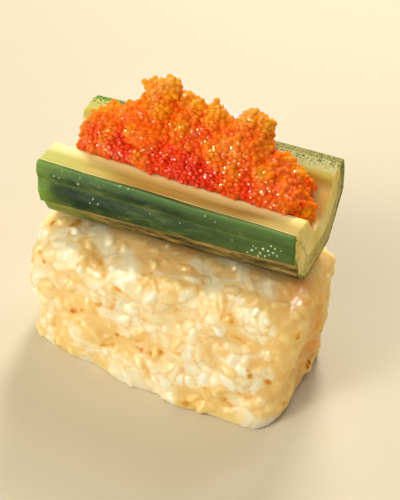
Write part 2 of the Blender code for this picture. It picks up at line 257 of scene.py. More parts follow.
def set_attribute(mesh, name, values):
    """Stores one number for each point of a mesh, for its material to read."""
    attribute = mesh.attributes.new(name, "FLOAT", "POINT")
    attribute.data.foreach_set("value", np.asarray(values, dtype=float))


def triangles_of(mesh):
    """The corners of a mesh's triangles, as an array of three points each."""
    mesh.calc_loop_triangles()
    index = np.empty(len(mesh.loop_triangles) * 3, dtype=int)
    mesh.loop_triangles.foreach_get("vertices", index)
    return coordinates(mesh)[index].reshape(-1, 3, 3)


def tree_of(obj):
    """A search tree of an object's faces."""
    shape = bmesh.new()
    shape.from_mesh(obj.data)
    tree = BVHTree.FromBMesh(shape)
    shape.free()
    return tree


def distance_outside(point, tree):
    """How far a point lies outside a closed shape, negative inside it, and the way out."""
    nearest, normal, _, distance = tree.find_nearest(Vector(point))
    away = Vector(point) - nearest
    if distance < DEEPEST_INSIDE and away.dot(normal) < 0:
        return -distance, normal
    return distance, away.normalized()


def spread(triangles, spacing, tries, draw):
    """Places on the triangles with no two nearer than spacing, and the normals there."""
    sides = np.cross(triangles[:, 1] - triangles[:, 0], triangles[:, 2] - triangles[:, 0])
    areas = np.linalg.norm(sides, axis=1)
    pick = draw.choice(len(triangles), tries, p=areas / areas.sum())
    u, v = draw.random(tries), draw.random(tries)
    flip = u + v > 1
    u, v = np.where(flip, 1 - u, u), np.where(flip, 1 - v, v)
    a, b, c = (triangles[pick, i] for i in range(3))
    candidates = a + (b - a) * u[:, None] + (c - a) * v[:, None]
    kept = np.full((tries, 3), FAR_AWAY)
    chosen = []
    for i, place in enumerate(candidates):
        gaps = kept[:len(chosen) + 1] - place
        if np.einsum("ij,ij->i", gaps, gaps).min() > spacing ** 2:
            kept[len(chosen)] = place
            chosen.append(i)
    hit = pick[chosen]
    return candidates[chosen], sides[hit] / areas[hit, None]


def copies(points, faces, frames, centres):
    """Points and faces of copies of one shape, each turned and stretched by its 3 by 3 frame."""
    placed = np.einsum("nij,pj->npi", frames, points) + centres[:, None, :]
    starts = np.arange(len(centres)) * len(points)
    return placed.reshape(-1, 3), (faces[None] + starts[:, None, None]).reshape(-1, faces.shape[1])


def fuse(obj, voxel, smoothing, keep=1):
    """Turns overlapping closed shapes into one smoothed skin, and keeps a share of its faces."""
    remesh = obj.modifiers.new("fuse", "REMESH")
    remesh.mode = "VOXEL"
    remesh.voxel_size = voxel
    remesh.use_smooth_shade = True
    smooth = obj.modifiers.new("soften", "SMOOTH")
    smooth.factor = 0.5
    smooth.iterations = smoothing
    if keep < 1:
        obj.modifiers.new("thin", "DECIMATE").ratio = keep
    graph = bpy.context.evaluated_depsgraph_get()
    mesh = bpy.data.meshes.new_from_object(obj.evaluated_get(graph))
    obj.modifiers.clear()
    obj.data = mesh


class Shader:
    """A Principled material under construction."""

    def __init__(self, name):
        self.material = bpy.data.materials.new(name)
        self.material.use_nodes = True
        self.tree = self.material.node_tree
        self.main = self.tree.nodes["Principled BSDF"]

    def node(self, kind, inputs, **settings):
        """Adds a node. An input's value is a number, a colour's code or another node's output."""
        node = self.tree.nodes.new(kind)
        for name, value in settings.items():
            setattr(node, name, value)
        for key, value in inputs.items():
            self.feed(node.inputs[key], value)
        return node

    def feed(self, socket, value):
        """Sets a socket, or links another node's output to it."""
        if isinstance(value, bpy.types.NodeSocket):
            self.tree.links.new(value, socket)
        else:
            socket.default_value = colour(value) if isinstance(value, str) else value

    def attribute(self, name):
        """A number stored on the mesh."""
        return self.node("ShaderNodeAttribute", {}, attribute_name=name).outputs["Fac"]

    def noise(self, scale, detail, stretch=(1, 1, 1), roughness=0.5, distortion=0):
        """Smooth noise from 0 to 1, in the object's own axes, stretched."""
        point = self.node("ShaderNodeTexCoord", {}).outputs["Object"]
        place = self.node("ShaderNodeVectorMath", {0: point, 1: stretch}, operation="MULTIPLY").outputs[0]
        inputs = {"Vector": place, "Scale": scale, "Detail": detail, "Roughness": roughness,
                  "Distortion": distortion}
        return self.node("ShaderNodeTexNoise", inputs).outputs["Fac"]

    def steps(self, value, stops):
        """Maps a number to a grey, or a colour's code, through (place, value) stops."""
        ramp = self.node("ShaderNodeValToRGB", {"Fac": value})
        elements = ramp.color_ramp.elements
        while len(elements) < len(stops):
            elements.new(0.5)
        for element, (place, tint) in zip(elements, stops):
            element.position = place
            element.color = colour(tint) if isinstance(tint, str) else (tint, tint, tint, 1)
        return ramp.outputs["Color"]

    def mix(self, share, first, second):
        """Mixes two colours."""
        node = self.node("ShaderNodeMix", {}, data_type="RGBA")
        for index, value in ((0, share), (6, first), (7, second)):
            self.feed(node.inputs[index], value)
        return node.outputs[2]

    def maths(self, operation, first, second):
        """Arithmetic on two numbers, kept from 0 to 1."""
        node = self.node("ShaderNodeMath", {0: first, 1: second}, operation=operation, use_clamp=True)
        return node.outputs[0]

    def over(self, base, tint, value, stops):
        """Lays a tint over a colour, by a number mapped through (place, share) stops."""
        return self.mix(self.steps(value, stops), base, tint)

    def times(self, first, second):
        """The product of two numbers, kept from 0 to 1."""
        return self.maths("MULTIPLY", first, second)

    def bump(self, height, distance, strength, socket="Normal"):
        """Feeds a height to the shader's normal, or to its coat's."""
        inputs = {"Height": height, "Distance": distance, "Strength": strength}
        self.feed(self.main.inputs[socket], self.node("ShaderNodeBump", inputs).outputs[0])

    def set(self, **values):
        """Sets the shader's own sockets, by name with _ for a space."""
        for name, value in values.items():
            self.feed(self.main.inputs[name.replace("_", " ")], value)


def rounded_outline(corners, grow):
    """The rounded corners of an outline of (y, z, radius), moved out by grow, each point with its corner."""
    rounded = []
    for i, (y, z, radius) in enumerate(corners):
        here = Vector((y, z)) * MM
        back = (Vector(corners[i - 1][:2]) * MM - here).normalized()
        ahead = (Vector(corners[(i + 1) % len(corners)][:2]) * MM - here).normalized()
        half = back.angle(ahead) / 2
        inward = (back + ahead).normalized()
        outward = 1 if back.x * ahead.y - back.y * ahead.x < 0 else -1
        size = radius * MM
        centre = here + inward * size / math.sin(half)
        start = here + back * size / math.tan(half) - centre
        end = here + ahead * size / math.tan(half) - centre
        for step in range(ARC_POINTS):
            arm = start.slerp(end, step / (ARC_POINTS - 1)).normalized()
            rounded.append((centre + arm * max(size + outward * grow, 0.05 * MM), i))
    return rounded


def section(corners, grow, counts=None):
    """An outline with its straight sides divided, the corner each point follows, and the divisions."""
    rounded = rounded_outline(corners, grow)
    points, corner_of, used = [], [], []
    for i, (here, corner) in enumerate(rounded):
        ahead, next_corner = rounded[(i + 1) % len(rounded)]
        parts = 1
        if next_corner != corner:
            parts = counts[len(used)] if counts else max(1, round((ahead - here).length / BOAT_STEP))
            used.append(parts)
        for part in range(parts):
            points.append(here.lerp(ahead, part / parts))
            corner_of.append(corner + part / parts)
    return np.array([tuple(p) for p in points]), np.array(corner_of), used


def far_wall_top(y, z):
    """1 on top of the far wall, falling to 0 down its sides."""
    return min(1, max(0, (y - 7 * MM) / (6 * MM))) * min(1, max(0, 1 + z / (5 * MM)))


def inside(places, outline):
    """Which (y, z) places lie inside a closed outline."""
    y, z = places[:, 0, None], places[:, 1, None]
    (y0, z0), (y1, z1) = outline.T, np.roll(outline, -1, axis=0).T
    crosses = (z0 > z) != (z1 > z)
    rise = np.where(z1 == z0, 1, z1 - z0)
    return (crosses & (y < (y1 - y0) * (z - z0) / rise + y0)).sum(axis=1) % 2 == 1


def end_face(outline, corner_of):
    """Points and triangles that fill an end's outline, with each point's corner and depth under the skin."""
    low, high = outline.min(axis=0), outline.max(axis=0)
    grid = np.stack(np.meshgrid(*(np.arange(a, b, END_STEP) for a, b in zip(low, high))), -1).reshape(-1, 2)
    grid = grid + np.random.default_rng(4).uniform(-0.25, 0.25, grid.shape) * END_STEP
    gaps = np.linalg.norm(grid[:, None] - outline[None], axis=2)
    grid = grid[inside(grid, outline) & (gaps.min(axis=1) > END_STEP * 0.7)]
    count = len(outline)
    border = [(i, (i + 1) % count) for i in range(count)]
    places = [Vector(place) for place in np.concatenate([outline, grid])]
    filled = geometry.delaunay_2d_cdt(places, border, [], 1, 1e-7)
    places = np.array([tuple(place) for place in filled[0]])
    gaps = np.linalg.norm(places[:, None] - outline[None], axis=2)
    skin = corner_of <= FAR_CORNER
    return places, filled[2], corner_of[gaps.argmin(axis=1)], gaps[:, skin].min(axis=1)


def tube_faces(rows, count):
    """Four-sided faces between rows of count points that each run round a tube."""
    return [(row + i, row + (i + 1) % count, row + count + (i + 1) % count, row + count + i)
            for row in range(0, (rows - 1) * count, count) for i in range(count)]


def boat_piece():
    """The hollowed half cucumber: a loft between two cut ends, and numbers for its material."""
    _, corner_of, counts = section(RIGHT_SECTION, 0)
    count = len(corner_of)
    half = BOAT_LENGTH / 2
    rings = [(-half + place * MM, inset) for place, inset in END_EDGE]
    for step in range(BOAT_STATIONS):
        rings.append((between((-half + END_MARGIN, half - END_MARGIN), step / (BOAT_STATIONS - 1)), 0))
    rings += [(half - place * MM, inset) for place, inset in reversed(END_EDGE)]
    flat, corner, along = [], [], []
    for x, inset in rings:
        share = x / BOAT_LENGTH + 0.5
        ends = [section(corners, -inset * MM, counts)[0] for corners in (LEFT_SECTION, RIGHT_SECTION)]
        outline = between(ends, share)
        flat += [(x, y, z) for y, z in outline]
        corner += list(corner_of)
        along += [share] * count
    faces = tube_faces(len(rings), count)
    depth = [0] * len(flat)
    for row in (0, len(rings) - 1):
        outline = np.array(flat)[row * count:(row + 1) * count, 1:]
        places, triangles, end_corner, gaps = end_face(outline, corner_of)
        start = len(flat)
        flat += [(rings[row][0], y, z) for y, z in places]
        faces += [tuple(start + i for i in triangle) for triangle in triangles]
        corner += list(end_corner)
        along += [along[row * count]] * len(places)
        depth += list(gaps / END_DEPTH)
    points = [boat_point(place, number, share) for place, number, share in zip(flat, corner, along)]
    obj = mesh_object("cucumber", points, faces)
    set_attribute(obj.data, "corner", np.array(corner) / len(RIGHT_SECTION))
    set_attribute(obj.data, "along", along)
    set_attribute(obj.data, "depth", depth)
    shape = bmesh.new()
    shape.from_mesh(obj.data)
    bmesh.ops.remove_doubles(shape, verts=shape.verts, dist=0.01 * MM)
    bmesh.ops.recalc_face_normals(shape, faces=shape.faces)
    shape.to_mesh(obj.data)
    shape.free()
    obj.data.shade_smooth()
    obj.data.set_sharp_from_angle(angle=math.radians(50))
    return obj


def boat_point(place, corner, share):
    """A point of the cucumber with its gentle waves and the far wall's rise."""
    x, y, z = place
    spot = Vector((x / BOAT_WAVE_LENGTH, corner * 0.8, 2))
    sway = noise.noise(spot) * BOAT_WAVE
    rise = noise.noise(spot + Vector((0, 0, 7))) * BOAT_WAVE
    lift = FAR_RISE * (1 - (1 - share) ** 2) * far_wall_top(y, z)
    return (x, y + sway, z + rise + lift)


def superellipse_outline(sides):
    """Points of the rice block's plan, evenly spaced, each way from -1 to 1."""
    steps = sides * 20
    length = RICE_RIGHT[0] - RICE_LEFT[0]
    depth = RICE_BACK[0] - RICE_FRONT[0]
    power = 2 / RICE_SQUARENESS
    fine = []
    for i in range(steps):
        c, s = math.cos(2 * math.pi * i / steps), math.sin(2 * math.pi * i / steps)
        fine.append(Vector((math.copysign(abs(c) ** power, c), math.copysign(abs(s) ** power, s))))
    walked = [0]
    for a, b in zip(fine, fine[1:] + fine[:1]):
        walked.append(walked[-1] + math.hypot((b.x - a.x) * length, (b.y - a.y) * depth))
    picks = np.searchsorted(walked, [walked[-1] * i / sides for i in range(sides)])
    return [fine[pick % steps] for pick in picks]


def rice_profile(height):
    """The side of the rice block as (height, inset) pairs, from the base's edge to the top's middle."""
    profile = [(0, RICE_BASE_ROUND * 3), (0, RICE_BASE_ROUND)]
    for step in range(RICE_SIDE_ROWS):
        rise = between((RICE_BASE_ROUND, height - RICE_TOP_ROUND), step / RICE_SIDE_ROWS)
        profile.append((rise, 0))
    for step in range(RICE_ROUND_ROWS):
        angle = math.pi / 2 * step / (RICE_ROUND_ROWS - 1)
        drop = RICE_TOP_ROUND * (1 - math.sin(angle))
        profile.append((height - drop, RICE_TOP_ROUND * (1 - math.cos(angle))))
    for share in (1.25, 1.5, 1.75, 2, 2.25, 2.5):
        profile.append((height, RICE_TOP_ROUND * share))
    return profile


def rice_core():
    """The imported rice's smooth inner form, as in the frame's solid but finer."""
    sides = RICE_SIDES
    base = -BOAT_TOP
    height = BOAT_TOP - RICE_SEAT
    outline = superellipse_outline(sides)
    profile = rice_profile(height)
    points = []
    for rise, inset in profile:
        share = rise / height
        swell = RICE_BULGE * math.sin(math.pi * share)
        left, right = between(RICE_LEFT, share) - swell, between(RICE_RIGHT, share)
        for u, v in outline:
            front = between(RICE_FRONT, share) - RICE_SKEW * u * (1 - share)
            back = between(RICE_BACK, share)
            x = (left + right) / 2 + u * ((right - left) / 2 - inset)
            y = (front + back) / 2 + v * ((back - front) / 2 - inset)
            points.append((x, y, base + rise))
    rows = len(profile)
    faces = [tuple(reversed(range(sides))), tuple(range((rows - 1) * sides, rows * sides))]
    faces += tube_faces(rows, sides)
    core = mesh_object("rice_core", points, faces)
    out = normals(core.data)
    places = coordinates(core.data)
    for i, (place, normal) in enumerate(zip(places, out)):
        lump = noise.noise(Vector(place) / RICE_LUMP_SIZE) * RICE_UNEVEN * 2
        on_base = place[2] < base + 0.01 * MM
        places[i] = place + normal * lump
        places[i][2] = base if on_base else min(max(places[i][2], base), -RICE_SEAT)
    set_coordinates(core.data, places)
    return core


def grain_template(rings, sides):
    """A cooked grain along X, one unit long and wide: two blunt tips, rings between, slightly bent."""
    points = [(-0.5, 0, 0)]
    for ring in range(rings):
        t = -math.cos(math.pi * (ring + 1) / (rings + 1))
        fullness = (1 - abs(t) ** 2.6) ** 0.5 * (1 - 0.1 * t)
        for side in range(sides):
            angle = 2 * math.pi * side / sides
            points.append((t / 2, math.cos(angle) * fullness / 2, math.sin(angle) * fullness / 2))
    points.append((0.5, 0, 0))
    last = len(points) - 1
    faces = []
    for side in range(sides):
        other = (side + 1) % sides
        faces.append((0, 1 + other, 1 + side))
        faces.append((last, last - sides + side, last - sides + other))
        for ring in range(rings - 1):
            here = 1 + ring * sides
            faces.append((here + side, here + other, here + sides + other))
            faces.append((here + side, here + sides + other, here + sides + side))
    points = np.array(points)
    points[:, 2] += 0.12 * (points[:, 0] ** 2 * 4 - 0.5)
    return points, np.array(faces)


def unit(vectors):
    """Vectors stretched to a length of 1."""
    return vectors / np.linalg.norm(vectors, axis=1)[:, None]


def grain_frames(directions, draw, tilt):
    """Turns and sizes of grains lying on surfaces of the given normals, as 3 by 3 frames."""
    count = len(directions)
    flat = unit(np.cross(directions, draw.normal(size=(count, 3))))
    lean = draw.normal(0, tilt, count)[:, None]
    axis = flat * np.cos(lean) + directions * np.sin(lean)
    side = unit(np.cross(axis, draw.normal(size=(count, 3))))
    up = np.cross(axis, side)
    length = GRAIN_LENGTH * draw.uniform(*GRAIN_LENGTHS, count)
    broken = draw.random(count) < BROKEN_SHARE
    length = np.where(broken, length * draw.uniform(*BROKEN_LENGTHS, count), length)
    width = GRAIN_WIDTH * draw.uniform(*GRAIN_WIDTHS, count)
    thick = width * draw.uniform(*GRAIN_THICKNESSES, count)
    return np.stack([axis * length[:, None], side * width[:, None], up * thick[:, None]], axis=2)


def fit_grain(centre, grain, normal, tree):
    """A grain's centre sunk until it clears the cucumber and the table, or None."""
    axis = Vector(grain[:, 0])
    radius = np.linalg.norm(grain[:, 1]) / 2
    place = Vector(centre)
    for _ in range(GRAIN_TRIES):
        spots = [place + axis * share for share in (-0.36, -0.18, 0, 0.18, 0.36)]
        outside = min(distance_outside(spot, tree)[0] for spot in spots)
        if outside > radius + GAP:
            lowest = min(spot.z for spot in spots) - radius
            return place + Vector((0, 0, max(0, -BOAT_TOP - lowest)))
        place = place - Vector(normal) * GRAIN_SINK
    return None


def grain_layer(core_triangles, spacing, tries, lift, tilt, draw, tree):
    """Centres and frames of a layer of grains over the rice's core, except on its flat base."""
    places, directions = spread(core_triangles, spacing, tries, draw)
    upward = directions[:, 2] > -0.8
    places, directions = places[upward], directions[upward]
    frames = grain_frames(directions, draw, tilt)
    centres = places + directions * draw.uniform(*lift, len(places))[:, None]
    kept = []
    for i, centre in enumerate(centres):
        fitted = fit_grain(centre, frames[i], directions[i], tree)
        if fitted is not None:
            centres[i] = fitted
            kept.append(i)
    return centres[kept], frames[kept]


def roughen(mesh, size, height):
    """Moves a mesh's points along their normals, as shards of the given size with creases between."""
    places = coordinates(mesh)
    near = (noise.voronoi(Vector(place) / size)[0] for place in places)
    swells = np.array([min(gaps[1] - gaps[0], 0.4) - 0.2 for gaps in near])
    set_coordinates(mesh, places + normals(mesh) * swells[:, None] * height)


def local_relief(mesh, rounds):
    """How far each point stands over its smoothed surroundings, in metres."""
    points = coordinates(mesh)
    edges = np.empty(len(mesh.edges) * 2, dtype=int)
    mesh.edges.foreach_get("vertices", edges)
    first, second = edges.reshape(-1, 2).T
    count = len(points)
    links = np.bincount(first, minlength=count) + np.bincount(second, minlength=count)
    smooth = points.copy()
    for _ in range(rounds):
        for axis in range(3):
            total = np.bincount(first, smooth[second, axis], count)
            total += np.bincount(second, smooth[first, axis], count)
            smooth[:, axis] = total / links
    return ((points - smooth) * normals(mesh)).sum(axis=1)


def mark_strength(places, marks, tree):
    """How strongly strokes between pairs of pixels, each of a size and strength, mark each place."""
    marked = np.zeros(len(places))
    for x0, y0, x1, y1, size, strength in marks:
        start, end = pixel_place((x0, y0), tree), pixel_place((x1, y1), tree)
        if start is None or end is None:
            continue
        start, way = np.array(start), np.array(end - start)
        along = (places - start) @ way / max(way @ way, 1e-12)
        gaps = places - start - np.clip(along, 0, 1)[:, None] * way
        fading = np.exp(-(gaps ** 2).sum(axis=1) / (size * MARK_SPREAD * MM) ** 2)
        marked = np.maximum(marked, strength * fading)
    return marked


def rice_attributes(mesh, centres, lengthwise, draw, tree):
    """Numbers for the rice's material: ridge or hollow, each grain's tone, and its marks."""
    places = coordinates(mesh)
    tones = draw.random(len(centres))
    grains = KDTree(len(centres) * 3)
    for i, centre in enumerate(centres):
        for share in (-0.2, 0, 0.2):
            grains.insert(centre + lengthwise[i] * share, i)
    grains.balance()
    set_attribute(mesh, "relief", np.clip(local_relief(mesh, 14) / (0.5 * MM) + 0.5, 0, 1))
    nearest, seams = [], []
    for place in places:
        found = grains.find_n(place, 5)
        first = found[0][1]
        gap = min((entry[2] - found[0][2] for entry in found[1:] if entry[1] != first), default=1)
        nearest.append(tones[first])
        seams.append(1 - min(gap / SEAM_WIDTH, 1))
    set_attribute(mesh, "tone", nearest)
    set_attribute(mesh, "seam", seams)
    for name, marks in (("gold_and_shade", GOLD_AND_SHADE_MARKS), ("white_and_glint", WHITE_AND_GLINT_MARKS), ("toast", TOAST_MARKS)):
        set_attribute(mesh, name, mark_strength(places, marks, tree))


def camera_axes():
    """The camera's right, up and back axes."""
    ca, sa = math.cos(CAMERA_AZIMUTH), math.sin(CAMERA_AZIMUTH)
    ce, se = math.cos(CAMERA_ELEVATION), math.sin(CAMERA_ELEVATION)
    forward = Vector((-sa * ce, ca * ce, -se))
    level = Vector((ca, sa, 0))
    down = forward.cross(level)
    cr, sr = math.cos(CAMERA_ROLL), math.sin(CAMERA_ROLL)
    return cr * level + sr * down, sr * level - cr * down, -forward


def pixel_place(pixel, tree):
    """The point of a shape that the photograph shows at a pixel, or None."""
    right, up, back = camera_axes()
    focal = CAMERA_LENS / SENSOR_SIZE * IMAGE_SIZE[1]
    x, y = pixel[0] - IMAGE_SIZE[0] / 2, pixel[1] - IMAGE_SIZE[1] / 2
    ray = (right * x - up * y - back * focal).normalized()
    return tree.ray_cast(CAMERA_PLACE, ray)[0]


# Browned marks on the rice: first and last pixel in the photograph, half width in mm, strength
TOAST_MARKS = [
    (73, 311, 81, 310, 0.6, 1), (92, 300, 98, 304, 0.9, 0.7), (56, 343, 64, 350, 0.7, 1),
    (134, 341, 143, 340, 0.4, 0.8), (135, 345, 146, 354, 0.6, 0.9), (146, 354, 160, 352, 0.6, 0.9),
    (101, 346, 113, 344, 0.5, 0.7), (117, 335, 119, 334, 0.4, 1.2), (120, 336, 124, 338, 0.8, 0.6),
    (185, 404, 195, 408, 0.7, 0.9), (195, 408, 206, 416, 0.7, 1), (225, 317, 235, 316, 0.7, 0.7),
    (226, 320, 231, 321, 0.6, 0.7), (201, 340, 205, 340, 0.5, 1), (202, 387, 205, 388, 0.4, 0.9),
    (248, 371, 250, 377, 0.4, 0.8), (267, 381, 269, 383, 0.5, 0.9), (252, 399, 256, 402, 0.6, 0.7),
    (218, 392, 226, 398, 0.6, 0.6), (224, 400, 230, 408, 0.8, 0.7), (72, 225, 79, 222, 0.5, 1),
    (51, 224, 53, 222, 0.5, 1), (40, 252, 44, 262, 0.4, 1), (95, 258, 101, 264, 0.6, 0.6),
    (101, 266, 104, 276, 0.5, 0.5), (78, 265, 81, 264, 0.4, 0.8), (233, 337, 242, 341, 0.5, 0.6),
    (242, 341, 254, 349, 0.5, 0.5), (297, 338, 301, 333, 0.4, 1.7), (308, 367, 310, 362, 0.5, 1.7),
    (304, 374, 306, 374, 0.5, 1.5), (300, 384, 302, 380, 0.5, 1.4), (276, 417, 285, 411, 0.5, 1.1),
    (283, 408, 291, 395, 0.8, 0.8), (320, 330, 324, 326, 0.8, 0.6), (147, 370, 150, 376, 0.6, 0.5),
    (52, 326, 54, 324, 0.6, 0.6), (115, 288, 119, 291, 0.5, 0.6), (140, 318, 149, 322, 0.5, 0.4),
    (114, 300, 112, 308, 0.5, 0.5), (175, 345, 176, 352, 0.4, 0.5), (210, 303, 216, 306, 0.6, 0.4),
    (187, 305, 189, 315, 0.5, 0.4), (266, 333, 267, 334, 0.3, 0.8), (191, 320, 193, 319, 0.3, 0.8),
]

# Golden stretches of the rice, in the same form: partly its own golden colour and partly painted shade,
# mostly on the shaded right end and on the strip in the cucumber's shadow, where the strongest, over 1, turn
# tan
GOLD_AND_SHADE_MARKS = [
    (150, 252, 190, 262, 4, 1.3), (125, 238, 150, 250, 3, 1.1), (175, 246, 193, 251, 2, 1.6),
    (75, 300, 100, 330, 4.5, 0.9), (100, 335, 125, 345, 3.5, 0.8), (60, 325, 72, 348, 3, 0.85),
    (85, 240, 90, 262, 2.5, 0.7), (96, 258, 102, 275, 1.6, 0.8), (45, 305, 70, 318, 2, 0.6),
    (98, 358, 110, 372, 2, 0.9), (70, 358, 95, 368, 2, 0.7), (140, 335, 148, 345, 2, 0.7),
    (190, 402, 228, 415, 3, 1.2), (250, 295, 262, 303, 2, 0.8), (235, 337, 255, 348, 2, 0.75),
    (222, 352, 226, 355, 1.5, 0.6), (147, 370, 150, 385, 1.6, 0.7), (225, 318, 232, 320, 1.5, 0.8),
    (255, 365, 275, 372, 2, 0.7), (283, 285, 300, 300, 4, 1.2), (286, 310, 282, 400, 3.5, 1.1),
    (305, 290, 298, 375, 5, 1.9), (322, 300, 310, 350, 5, 2), (327, 262, 322, 300, 4, 1.2),
    (245, 400, 262, 412, 2, 0.7), (52, 222, 75, 222, 1.8, 0.8), (40, 255, 42, 260, 1.5, 0.6),
    (205, 264, 290, 288, 1.8, 1), (108, 232, 150, 246, 2, 1), (150, 280, 195, 290, 2.2, 0.8),
]

# The whitest grains, partly real white grains and partly painted glints, in the same form
WHITE_AND_GLINT_MARKS = [
    (98, 230, 106, 246, 2, 1), (60, 246, 68, 254, 2.2, 0.9), (62, 232, 63, 236, 1, 0.9),
    (42, 236, 45, 239, 1, 0.8), (125, 254, 132, 268, 1.6, 1), (115, 272, 120, 276, 1.5, 1),
    (196, 264, 208, 272, 1.2, 1), (209, 276, 213, 290, 1, 1), (241, 264, 244, 278, 1, 1),
    (186, 296, 192, 299, 1.4, 1), (262, 284, 270, 292, 1.8, 0.8), (114, 370, 138, 384, 1.6, 1),
    (150, 386, 168, 393, 2, 0.8), (172, 400, 173, 408, 1.2, 0.9), (234, 400, 240, 408, 2, 0.8),
    (118, 300, 128, 304, 2, 0.8), (132, 295, 150, 310, 3, 0.6), (56, 266, 76, 262, 1.2, 0.8),
    (80, 290, 88, 294, 1.5, 0.7), (150, 300, 165, 320, 3.5, 0.5), (245, 312, 247, 318, 0.6, 1),
    (261, 316, 262, 330, 0.6, 1), (266, 372, 269, 378, 1, 1), (222, 258, 235, 262, 0.8, 1),
]


def rice_material():
    """Moist cooked rice: cream grains, golden and tan stretches, and browned strokes. Some golden and most
    tan stretches and the darker hollows are painted shade; the lighter ridges and some white marks are
    painted highlights and glints.
    """
    s = Shader("rice")
    tone, gold_and_shade = s.attribute("tone"), s.attribute("gold_and_shade")
    base = s.steps(tone, [(0, "eccf88"), (0.25, "f3dea6"), (0.5, "f8eac8"), (0.8, "fdf4e0"), (1, "fffaf0")])
    # Painted shade in the hollows and painted highlight on the ridges, by the local relief
    relief_shade = s.steps(s.attribute("relief"), [(0, "f2d898"), (0.5, "f9eac4"), (1, "fff8e6")])
    base = s.mix(0.25, base, relief_shade)
    seam = s.times(s.attribute("seam"), s.steps(s.noise(300, 3), [(0.35, 0.25), (0.55, 0.9)]))
    base = s.mix(seam, base, "e8c278")
    base = s.over(base, "f0d08a", s.noise(90, 4), [(0.52, 0), (0.66, 0.6)])
    ragged = s.maths("ADD", s.times(gold_and_shade, 0.6), s.times(s.noise(260, 4), 0.4))
    # Golden colour, and painted shade that turns tan where the marks are strongest
    gilt_and_shade = s.steps(s.times(gold_and_shade, 0.5), [(0.4, "f0d08c"), (0.6, "f4cc84"), (1, "eeaa5c")])
    gilt_and_shade = s.mix(s.times(tone, 0.5), gilt_and_shade, "f6dca0")
    base = s.over(base, gilt_and_shade, ragged, [(0.42, 0), (0.58, 1)])
    # Whiter grains, partly painted glints
    base = s.over(base, "fdf3da", s.attribute("white_and_glint"), [(0.3, 0), (0.8, 0.75)])
    broken = s.steps(s.noise(620, 5), [(0.38, 0.25), (0.58, 1)])
    speck = s.times(s.times(s.attribute("toast"), 0.6), broken)
    browning = [(0.1, "f0c870"), (0.3, "e6b254"), (0.5, "d28c34"), (0.7, "a4602a"), (0.9, "5c2c18")]
    base = s.over(base, s.steps(speck, browning), speck, [(0.03, 0), (0.32, 1)])
    base = s.over(base, "d8a850", s.noise(560, 2), [(0.72, 0), (0.76, 0.6)])
    s.set(Base_Color=base, Roughness=0.45, IOR=1.38, Specular_IOR_Level=0.12)
    s.set(Subsurface_Weight=1, Subsurface_Scale=5 * MM, Subsurface_Radius=(1, 0.95, 0.7))
    s.bump(s.noise(900, 3), 0.08 * MM, 0.5)
    moist = s.steps(s.noise(330, 2), [(0.56, 0), (0.64, 0.35)])
    wet = s.maths("SUBTRACT", moist, s.times(speck, 4))  # browned marks are dry
    s.set(Coat_Weight=wet, Coat_Roughness=0.08, Coat_IOR=1.4)
    s.bump(s.noise(1100, 3), 0.2 * MM, 0.9, "Coat Normal")
    return s.material


def build_rice(shift, boat_tree):
    """The rice: packed grains fused in one skin."""
    draw = np.random.default_rng(11)
    core = rice_core()
    core_triangles = triangles_of(core.data)
    layers = [grain_layer(core_triangles, *layer, draw, boat_tree) for layer in GRAIN_LAYERS]
    centres, frames = (np.concatenate(parts) for parts in zip(*layers))
    points, faces = grain_template(GRAIN_RINGS, GRAIN_SIDES)
    grain_points, grain_faces = copies(points, faces, frames, centres)
    body = coordinates(core.data) - normals(core.data) * CORE_INSET
    body[:, 2] = np.maximum(body[:, 2], -BOAT_TOP)
    body_faces = [list(polygon.vertices) for polygon in core.data.polygons]
    body_faces += (grain_faces + len(body)).tolist()
    packed = mesh_object("packed_rice", np.concatenate([body, grain_points]), body_faces)
    fuse(packed, RICE_VOXEL, 1, RICE_KEPT_FACES)
    roughen(packed.data, SHARD_SIZE, SHARD_HEIGHT)
    places = coordinates(packed.data)
    places[:, 2] = np.maximum(places[:, 2], -BOAT_TOP)
    set_coordinates(packed.data, places)

    rice_attributes(packed.data, centres, frames[:, :, 0], draw, tree_of(packed))
    packed.data.materials.append(rice_material())
    packed.location = shift
    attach(packed, "root")
    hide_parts("rice_block")
    bpy.data.objects.remove(core, do_unlink=True)


def at(*stops):
    """Stops at corners' numbers, placed from 0 to 1 as the mesh stores the corner."""
    return [(number / len(RIGHT_SECTION), value) for number, value in stops]


